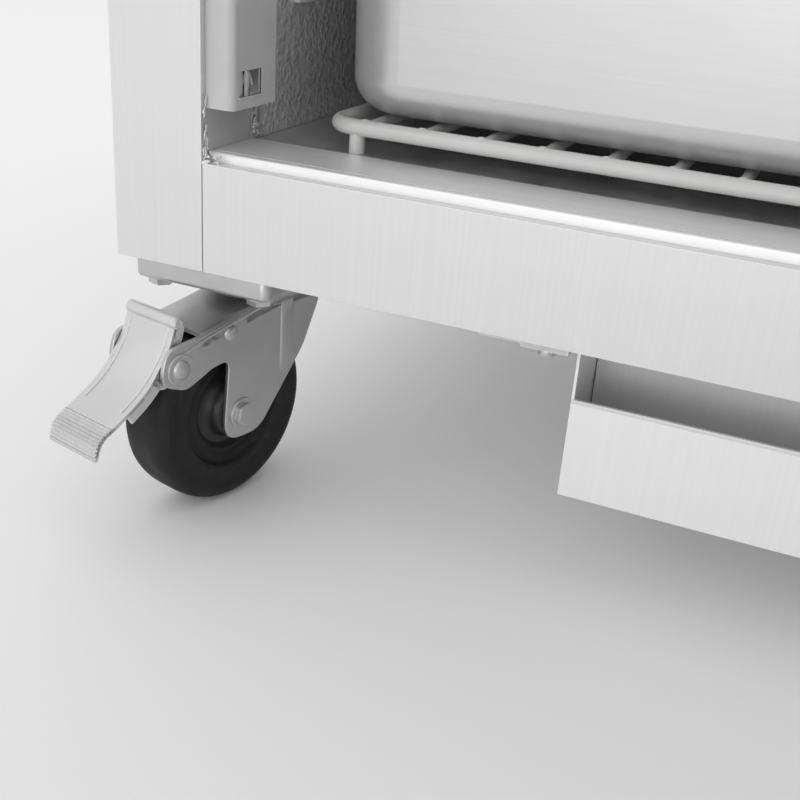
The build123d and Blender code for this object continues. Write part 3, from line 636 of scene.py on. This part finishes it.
def crownShape():
    half = caster["halfInside"] + caster["sheet"]
    fold = caster["foldRadius"]
    stations = smoothLine([(-30.5, -20.5), (-14, -20.5), (0, -20.7), (12, -22.2), (30, -25.4),
                           (51, -29.0)], 5)
    section = [(-half, -7.0)]
    for step in range(7):
        angle = math.pi - math.pi / 2 * step / 6
        section.append((-half + fold + fold * math.cos(angle), -fold + fold * math.sin(angle)))
    section += [(-y, z) for y, z in reversed(section)]
    thick = caster["sheet"]
    inner = []
    for y, z in section:
        inner.append((y * (half - thick) / half,
                      max(z - thick, -7.0) if abs(y) < half - fold + 0.01 else min(z, -thick)))
    loop = section + inner[::-1]
    size = len(loop)
    verts = [(point.x, y, point.y + z) for point in stations for y, z in loop]
    faces = []
    for index in range(len(stations) - 1):
        for step in range(size):
            follow = (step + 1) % size
            faces.append((index * size + step, index * size + follow, (index + 1) * size + follow,
                          (index + 1) * size + step))
    half = len(section)
    last = (len(stations) - 1) * size
    for step in range(half - 1):
        faces.append((step, step + 1, size - 2 - step, size - 1 - step))
        faces.append((last + step, last + size - 1 - step, last + size - 2 - step, last + step + 1))
    return verts, faces


def addFork(corner):
    place = casterPlace(corner)
    braked = corner.startswith("front")
    px, pz = caster["pivot"]
    half = caster["halfInside"]
    outer = half + caster["sheet"]
    outline = [(-30.5, -21.6, 2.0), (0, -21.8, 12.0), (51, -30.0, 5.0)]
    if braked:
        outline += [(px + 7.6, pz + 11.2, 9.0), (px + 12.0, pz - 6.0, 9.0), (px - 4.0, pz - 12.2, 9.0),
                    (45.0, -48.6, 8.0)]
    else:
        outline += [(52.5, -38.0, 6.0)]
    outline += [(33.6, -47.0, 6.0), (37.4, -92.0, 15.0), (12.4, -92.0, 15.0), (-19.5, -54.0, 30.0),
                (-31.0, -30.0, 20.0)]
    rounded = filleted(outline)
    shapes = [prism(rounded, half, outer), prism(rounded, -outer, -half)]
    fork = addPiece("fork_" + corner, *merged(*shapes), "zinc_plate", "swivel_" + corner, place, sharp=28,
                    round=bevelEdge)
    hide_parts("caster_fork_" + corner)
    addPiece("crown_" + corner, *crownShape(), "zinc_plate", "swivel_" + corner, place, sharp=40)
    axle = caster["axleLevel"]
    fixings = []
    for sign in (1, -1):
        way = (0, sign, 0)
        face = sign * outer
        fixings.append(washer((caster["trail"], face, axle), way, 8.2, 1.2))
        fixings.append(hexHead((caster["trail"], face + sign * 1.2, axle), way, 6.3, 2.8))
        fixings.append(domed((33.0, face, -33.5), way, 4.2, 1.9))
        bead = []
        for step in range(9):
            angle = math.pi * step / 8
            bead.append((-6.5 + 4.6 * math.cos(angle), 0.85 * math.sin(angle)))
        verts, faces = [], []
        levels = [(-25.5, 0.0), (-28.0, 0.75), (-31.0, 1.0), (-58.0, 1.0), (-61.0, 0.75), (-63.5, 0.0)]
        for level, lift in levels:
            verts += [(x, face + sign * (y * lift - 0.02), level) for x, y in bead]
        for row in range(len(levels) - 1):
            faces += [(row * 9 + index, row * 9 + index + 1, row * 9 + index + 10, row * 9 + index + 9)
                      for index in range(8)]
        fixings.append((verts, faces))
        if braked:
            fixings.append(washer((px, face, pz), way, 7.9, 1.1))
            fixings.append(domed((px, face + sign * 1.1, pz), way, 5.0, 2.3))
            lipLine = smoothLine([(12.0, -24.0), (30.0, -27.4), (48.0, -31.0), (60.0, -34.2),
                                  (px + 3.2, pz + 6.6)], 5)
            fixings.append(sheetAlong(lipLine, 1.2, face - 0.1, face + sign * 0.55))
    addPiece("forkFixings_" + corner, *merged(*fixings), "zinc_plate", "swivel_" + corner, place, sharp=32)
    race = [(9.0, -14.4), (27.0, -14.6), (28.2, -15.6), (28.4, -17.2), (26.6, -19.0), (22.0, -20.2),
            (14.0, -21.2), (9.0, -21.2)]
    addPiece("race_" + corner, *turned(race, (0, 0, 0), (0, 0, 1), 56), "zinc_plate", "swivel_" + corner,
             place, sharp=30)


def addPedal(corner):
    place = casterPlace(corner)
    px, pz = caster["pivot"]
    half = caster["halfInside"] - 0.4
    path = smoothLine([(0.2, 23.0), (1.4, 18.0), (4.2, 10.6), (8.4, 4.0), (13.4, -2.2), (19.4, -7.8),
                       (27.0, -12.9), (34.0, -16.9), (38.0, -19.0)], 5)
    toe = smoothLine([(38.0, -19.0), (43.0, -21.2), (46.6, -25.2), (48.4, -30.8)], 24)
    ribs = []
    for index, point in enumerate(toe[1:]):
        ahead = toe[min(index + 2, len(toe) - 1)] - toe[index]
        normal = Vector((-ahead.y, ahead.x)).normalized()
        wave = math.cos(2 * math.pi * caster["ribCount"] * index / (len(toe) - 2))
        ribs.append(point + normal * caster["ribHeight"] * wave)
    line = [Vector((point.x + px, point.y + pz)) for point in path + ribs]
    shapes = [sheetAlong(line, 2.0, -half, half)]
    flange = [Vector((point.x + px, point.y + pz)) for point in path[2:33]]
    for y0 in (-half, half - 1.6):
        shapes.append(sheetAlong([point - Vector((0.6, 0.8)) for point in flange], 5.6, y0, y0 + 1.6))
    for y0 in (-half + 3.0, half - 4.2):
        shapes.append(sheetAlong([point + Vector((0.15, 0.35)) for point in flange[3:]], 1.4, y0, y0 + 1.2))
    ear = filleted([(px - 7.0, pz + 2.0, 5), (px - 4.0, pz - 7.6, 5), (px + 9.0, pz - 9.0, 4),
                    (px + 15.0, pz - 4.0, 2),
                    (px + 6.0, pz + 7.0, 3), (px + 0.5, pz + 15.0, 3), (px - 5.0, pz + 9.0, 4)])
    shapes += [prism(ear, -half, -half + 1.8), prism(ear, half - 1.8, half)]
    # the pedal takes the brighter painted-light copy of the zinc plating
    pedal = addPiece("pedal_" + corner, *merged(*shapes), "pedal_steel", "brake_" + corner, place,
                     sharp=30, round=0.3)
    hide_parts("brake_pedal_" + corner)
    lip = [(0.01, -half - 0.6), (2.4, -half - 0.6), (3.2, -half + 0.2), (3.2, half - 0.2),
           (2.4, half + 0.6), (0.01, half + 0.6)]
    roll = turned(lip, (px - 1.6, 0, pz + 21.6), (0, 1, 0), 28)
    core = turned([(1.5, half + 0.55), (1.9, half + 0.8), (2.4, half + 0.62)], (px - 1.6, 0, pz + 21.6),
                  (0, 1, 0), 20)
    addPiece("pedalLip_" + corner, *merged(roll, core), "pedal_steel", "brake_" + corner, place, sharp=40)


def addPadFixings(corner):
    x, y = corners[corner][0]
    shapes = []
    base = caster["base"] + caster["padBottom"]
    for sideX in (-27.5, 27.5):
        for sideY in (-38.5, 38.5):
            shapes.append(washer((x + sideX, y + sideY, base), (0, 0, -1), 7.6, 1.0))
            shapes.append(hexHead((x + sideX, y + sideY, base - 1.0), (0, 0, -1), 6.4, 3.4))
    addPiece("padNuts_" + corner, *merged(*shapes), "zinc_plate", "cabinet", sharp=30)


for cornerName in corners:
    addWheel(cornerName)
    addFork(cornerName)
    addPadFixings(cornerName)
    if cornerName.startswith("front"):
        addPedal(cornerName)
print("casters made")


# joint crumple, foil edge and window of the wiring cover

cornerWork = {
    "frontY": -350.0, "railTop": 179.6, "seam": 302.2,
    "ledgeRise": 4.5, "ledgeFront": -347.6,    # the threshold strip behind the rail
    "crumpleCount": 26, "seamDrops": 18, "foilRagged": 1.6, "wireRadius": 0.7,
}


def blob(centre, size, wobble):
    verts, faces = [], []
    rows, columns = 7, 10
    for row in range(rows + 1):
        polar = math.pi * row / rows
        for column in range(columns):
            angle = 2 * math.pi * column / columns
            grow = 1 + random.uniform(-wobble, wobble)
            verts.append((centre[0] + size[0] * grow * math.sin(polar) * math.cos(angle),
                          centre[1] + size[1] * grow * math.sin(polar) * math.sin(angle),
                          centre[2] + size[2] * grow * math.cos(polar)))
    for row in range(rows):
        for column in range(columns):
            follow = (column + 1) % columns
            faces.append((row * columns + column, row * columns + follow, (row + 1) * columns + follow,
                          (row + 1) * columns + column))
    return verts, faces


def addWeldCrumple():
    shapes = []
    for side in (-1, 1):
        for index in range(cornerWork["crumpleCount"]):
            step = index / cornerWork["crumpleCount"]
            x = side * (cornerWork["seam"] - 11.0 * step * random.random())
            y = cornerWork["frontY"] + 0.6 + random.uniform(0.0, 2.6)
            z = cornerWork["railTop"] + random.uniform(-0.5, 0.9)
            z += (cornerWork["ledgeRise"] if y > cornerWork["ledgeFront"] else 0.0) * random.random()
            shapes.append(blob((x, y, z), (random.uniform(0.5, 1.5), random.uniform(0.4, 0.9),
                                           random.uniform(0.3, 0.8)), 0.35))
        for index in range(cornerWork["seamDrops"]):
            x = side * (302.4 - random.uniform(0.0, 1.2))
            y = cornerWork["frontY"] + 0.7 + random.uniform(0.0, 3.4)
            z = 181.0 + 30.0 * random.random() ** 1.7
            shapes.append(blob((x, y, z), (random.uniform(0.25, 0.6), random.uniform(0.4, 0.8),
                                           random.uniform(0.9, 2.6)), 0.35))
    addPiece("weldCrumple", *merged(*shapes), "brushed_stainless", "cabinet", sharp=60)


def addFoilEdge():
    shapes = []
    for side in (-1, 1):
        verts, faces = [], []
        count = 26
        for index in range(count):
            level = 184.6 + 42.0 * index / (count - 1)
            ragged = random.uniform(-1, 1) * cornerWork["foilRagged"]
            lift = 0.6 + random.random() * 1.3
            verts += [(side * 302.3, -300.0, level), (side * (302.0 - lift * 0.4), -304.0 + ragged * 0.5,
                                                      level),
                      (side * (301.6 - lift), -307.6 + ragged, level + ragged * 0.3)]
        for index in range(count - 1):
            for step in range(2):
                faces.append((index * 3 + step, index * 3 + step + 1, index * 3 + step + 4,
                              index * 3 + step + 3))
        shapes.append((verts, faces))
        for index in range(7):
            shapes.append(blob((side * (301.0 - random.random()), -306.5 + random.uniform(-1, 2.5),
                                184.6 + random.random() * 7.0),
                               (random.uniform(0.3, 1.0), random.uniform(0.5, 1.6),
                                random.uniform(0.3, 0.9)), 0.4))
    foil = addPiece("foilEdge", *merged(*shapes), "stucco_aluminium", "cabinet", sharp=70)
    thicken = foil.modifiers.new("thickness", "SOLIDIFY")
    thicken.thickness = 0.25 * mm


def addWindow():
    low, high = (-288.6, -341.5, 208.7), (-288.0, -323.0, 219.8)
    rim = 0.9
    shapes = [
        blockShape((-289.0, low[1], low[2] - rim), (high[0] + 0.3, high[1], low[2])),
        blockShape((-289.0, high[1], low[2] - rim), (high[0] + 0.3, high[1] + rim, high[2])),
        blockShape((-289.4, -335.9, low[2]), (high[0] + 0.1, -335.0, high[2]))]
    addPiece("windowRim", *merged(*shapes), "grey_plastic", "cabinet", round=0.15)
    pane = [blockShape((-290.6, low[1] + 0.2, low[2]), (-290.0, -335.9, high[2]))]
    addPiece("windowPane", *merged(*pane), "grey_plastic", "cabinet")
    back = [blockShape((-297.4, -335.0, low[2] - 3), (-296.9, high[1] + 1.0, high[2] + 3))]
    addPiece("windowBack", *merged(*back), "black_plastic", "cabinet")
    curl = []
    for step in range(22):
        angle = 2 * math.pi * step / 8
        curl.append((-293.2 + 1.2 * math.cos(angle * 0.7), -334.0 + 0.5 * step,
                     214.3 + 3.6 * math.sin(angle)))
    addTube("windowWire", curl, cornerWork["wireRadius"], "coated_wire", "cabinet")


addWeldCrumple()
addFoilEdge()
addWindow()
print("corner details made")


# welds of the racks

rackLook = {"pitch": 28.4, "rim": 7.6}


def addRackWelds(name, node):
    low, high = [[value / mm for value in corner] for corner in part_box(node)]
    rimHalf = rackLook["rim"] / 2
    x0, x1 = low[0] + rimHalf, high[0] - rimHalf
    y0, y1 = low[1] + rimHalf, high[1] - rimHalf
    level = high[2] - rimHalf
    shapes = []
    x = x0 + 18.0
    while x < x1 - 14.0:
        for y, inward in ((y0, 1), (y1, -1)):
            shapes.append(blob((x, y + inward * 3.4, level + 0.5), (4.6, 3.6, 3.0), 0.02))
            shapes.append(blob((x, y + inward * 0.6, level + 1.6), (3.6, 3.0, 2.7), 0.02))
        x += rackLook["pitch"]
    addPiece(name, *merged(*shapes), "coated_wire", "cabinet", sharp=80)


addRackWelds("floorRackWelds", "floor_rack")
addRackWelds("shelfWelds", "wire_shelf")
print("rack welds made")


# door seal ribs, panel screws, louvre hoods, cover guard, display and intake box details

sealLook = {"ribRadius": 1.6, "proud": 0.15, "ribOffsets": (3.4, 8.0, 12.6)}


def addSeal():
    low, high = [[value / mm for value in corner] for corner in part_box("door_gasket")]
    x = low[0] + sealLook["ribRadius"] - sealLook["proud"]
    for index, inset in enumerate(sealLook["ribOffsets"]):
        y0, y1 = low[1] + inset, high[1] - inset
        z0, z1 = low[2] + inset, high[2] - inset
        corner = 3.0
        loop = [(x, y0 + corner, z0), (x, y1 - corner, z0), (x, y1, z0 + corner), (x, y1, z1 - corner),
                (x, y1 - corner, z1), (x, y0 + corner, z1), (x, y0, z1 - corner), (x, y0, z0 + corner)]
        addTube("sealRib_" + str(index + 1), loop, sealLook["ribRadius"], "grey_gasket", "door",
                closed=True, curved=False)


def screwRow(points, axis, radius=3.6, height=1.6):
    return merged(*[screwHead(point, axis, radius, height) for point in points])


def spread(first, last, count):
    return [first + (last - first) * index / (count - 1) for index in range(count)]


def addPanelScrews():
    rear = [(x, 349.9, z) for x in (-338.0, 338.0) for z in spread(150.0, 860.0, 7)]
    rear += [(x, 349.9, z) for x in spread(-220.0, 220.0, 5) for z in (142.0, 868.0)]
    sides = [(349.9, y, z) for y in (-292.0, 336.0) for z in spread(160.0, 850.0, 5)]
    addPiece("rearScrews", *screwRow(rear, (0, 1, 0), 3.6, 0.9), "zinc_plate", "cabinet", sharp=40)
    addPiece("sideScrews", *screwRow(sides, (1, 0, 0), 3.2, 0.9), "zinc_plate", "cabinet", sharp=40)


def addLouvreHoods():
    shapes = []
    for side in (-1, 1):
        for index in range(12):
            level = 128.6 + 90 + 24 * index
            x0, x1 = side * 150 - 100, side * 150 + 100
            arc = [(0.0, level + 8.4), (1.3, level + 8.0), (2.4, level + 6.2), (3.0, level + 3.2),
                   (2.5, level + 1.2)]
            verts = []
            for x, grow in ((x0 + 0.5, 0.0), (x0 + 5, 0.9), (x0 + 9, 1.0), (x1 - 9, 1.0), (x1 - 5, 0.9),
                            (x1 - 0.5, 0.0)):
                verts += [(x, 350.0 + out * grow, z) for out, z in arc]
            faces = [(row * 5 + step, row * 5 + step + 1, row * 5 + step + 6, row * 5 + step + 5)
                     for row in range(5) for step in range(4)]
            shapes.append((verts, faces))
    hoods = addPiece("louvreHoods", *merged(*shapes), "brushed_stainless", "cabinet", sharp=60)
    thicken = hoods.modifiers.new("thickness", "SOLIDIFY")
    thicken.thickness = 0.6 * mm
    thicken.offset = -1


def addGuard():
    low, high = [[value / mm for value in corner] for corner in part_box("evaporator_cover")]
    x, z, y = 0.0, 683.6, low[1] - 0.6
    for index, radius in enumerate((14, 26, 38, 50)):
        ring = [(x + radius * math.cos(2 * math.pi * step / 24), y,
                 z + radius * math.sin(2 * math.pi * step / 24)) for step in range(24)]
        addTube("guardRing_" + str(index + 1), ring, 0.9, "coated_wire", "cabinet", closed=True)
    for index in range(3):
        angle = math.pi * index / 3 + 0.3
        reach = 54.0
        ends = [(x - reach * math.cos(angle), y + 0.8, z - reach * math.sin(angle)),
                (x + reach * math.cos(angle), y + 0.8, z + reach * math.sin(angle))]
        addTube("guardSpoke_" + str(index + 1), ends, 1.1, "coated_wire", "cabinet", curved=False)
    screws = [(side * (high[0] - 12) * 0.98, low[1] + 0.2, level) for side in (-1, 1)
              for level in (low[2] + 14, high[2] - 14)]
    addPiece("coverScrews", *screwRow(screws, (0, -1, 0), 3.6, 1.5), "zinc_plate", "cabinet", sharp=40)


def addDisplay():
    low, high = [[value / mm for value in corner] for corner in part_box("control_panel")]
    y = low[1]
    window = [blockShape((low[0] + 9, y - 0.5, low[2] + 12), (low[0] + 45, y + 0.6, high[2] - 12))]
    addPiece("displayWindow", *merged(*window), "black_plastic", "cabinet", round=0.3,
             finish="displayGlass")
    bars = []
    for digit in range(2):
        x0 = low[0] + 17 + digit * 11
        bars.append(blockShape((x0, y - 0.7, 819.0), (x0 + 6.5, y - 0.45, 820.2)))
        bars.append(blockShape((x0, y - 0.7, 826.2), (x0 + 6.5, y - 0.45, 827.4)))
        bars.append(blockShape((x0, y - 0.7, 812.0), (x0 + 6.5, y - 0.45, 813.2)))
        bars.append(blockShape((x0 - 0.4, y - 0.7, 813.4), (x0 + 0.8, y - 0.45, 826.0)))
        bars.append(blockShape((x0 + 5.7, y - 0.7, 813.4), (x0 + 6.9, y - 0.45, 826.0)))
    lamp = [domed((low[0] + 52, y + 0.2, 822.0), (0, -1, 0), 1.8, 1.4)]
    addPiece("displayBars", *merged(*bars), "black_plastic", "cabinet", finish="displayLight")
    addPiece("panelLamp", *merged(*lamp), "black_plastic", "cabinet", finish="displayLight")




def addBoxRivets():
    shapes = [domed((side * 126.0, y, 90.0), (side, 0, 0), 2.3, 0.9) for side in (-1, 1)
              for y in spread(-300.0, 290.0, 5)]
    addPiece("boxRivets", *merged(*shapes), "zinc_plate", "cabinet", sharp=40)
    baffle = [blockShape((-124.0, -296.0, 56.0), (124.0, -295.2, 122.0)),
              blockShape((-124.0, -296.0, 121.0), (124.0, -286.0, 122.0))]
    # the baffle also takes the brighter painted-light copy of the box stainless
    addPiece("boxBaffle", *merged(*baffle), "brushed_stainless", "cabinet", finish="box_painted_light_stainless")
    hem = [blockShape((-125.9, -332.3, 98.2), (125.9, -331.2, 100.2))]
    addPiece("boxHem", *merged(*hem), "brushed_stainless", "cabinet", round=0.4)


addSeal()
addPanelScrews()
addLouvreHoods()
addGuard()
addDisplay()
addBoxRivets()
print("cabinet details made")


# pipes behind the louvres

pipeLook = {"copper": 3.2, "lag": 9.0}


def addPipes():
    suction = [(150, 246, 300), (150, 246, 340), (120, 262, 372), (60, 290, 380), (20, 290, 420),
               (10, 280, 560), (10, 200, 600), (10, 152, 640)]
    liquid = [(96, 246, 292), (96, 262, 330), (40, 300, 344), (-20, 306, 330), (-26, 306, 250)]
    addTube("suctionPipe", suction, pipeLook["lag"] / 2, "black_rubber", "cabinet")
    addTube("liquidPipe", liquid, pipeLook["copper"], "zinc_plate", "cabinet", finish="copperPipe")


addPipes()
print("pipes made")


# stage, light and camera

stageLook = {"floorTone": 0.93, "skyStrength": 0.9}
floorMesh = bpy.data.meshes.new("floor")
floorMesh.from_pydata([(-9, -9, 0), (9, -9, 0), (9, 9, 0), (-9, 9, 0)], [], [(0, 1, 2, 3)])
floorPiece = bpy.data.objects.new("floor", floorMesh)
bpy.context.scene.collection.objects.link(floorPiece)
floorPaint = newMaterial("paleFloor", Base_Color=grey(stageLook["floorTone"]), Roughness=0.7)[0]
floorMesh.materials.append(floorPaint)

world = bpy.data.worlds.new("studio")
bpy.context.scene.world = world
world.use_nodes = True
world.node_tree.nodes["Background"].inputs["Color"].default_value = grey(1.0)
world.node_tree.nodes["Background"].inputs["Strength"].default_value = stageLook["skyStrength"]


def addLamp(name, place, target, size, power):
    lamp = bpy.data.lights.new(name, "AREA")
    lamp.shape = "RECTANGLE"
    lamp.size, lamp.size_y = size
    lamp.energy = power
    holder = bpy.data.objects.new(name, lamp)
    holder.location = place
    holder.rotation_euler = (Vector(target) - Vector(place)).to_track_quat("-Z", "Y").to_euler()
    bpy.context.scene.collection.objects.link(holder)


addLamp("keyLamp", (-1.6, -3.0, 2.2), (-0.2, -0.3, 0.3), (1.8, 1.8), 11)
addLamp("fillLamp", (2.4, -2.8, 1.4), (0.0, -0.3, 0.3), (1.8, 1.8), 5)
addLamp("lowLamp", (-0.2, -2.6, 0.35), (0.0, 0.0, 0.3), (1.4, 0.9), 7)
addLamp("topLamp", (0.0, -0.4, 3.4), (0.0, 0.0, 0.9), (2.2, 2.2), 6)

cameraSetup = {"place": (-0.0330, -0.7632, 0.2939), "turn": 21.85, "tip": 24.74, "roll": 4.35,
               "lens": 49.19}
cameraData = bpy.data.cameras.new("camera")
cameraData.sensor_width = 36.0
cameraData.lens = cameraSetup["lens"]
cameraData.clip_start = 0.01
camera = bpy.data.objects.new("camera", cameraData)
aim = (Matrix.Rotation(math.radians(cameraSetup["turn"]), 4, "Z")
       @ Matrix.Rotation(math.radians(90 - cameraSetup["tip"]), 4, "X")
       @ Matrix.Rotation(math.radians(cameraSetup["roll"]), 4, "Z"))
camera.matrix_world = Matrix.Translation(cameraSetup["place"]) @ aim
bpy.context.scene.collection.objects.link(camera)
bpy.context.scene.camera = camera
bpy.context.scene.view_settings.view_transform = "Standard"
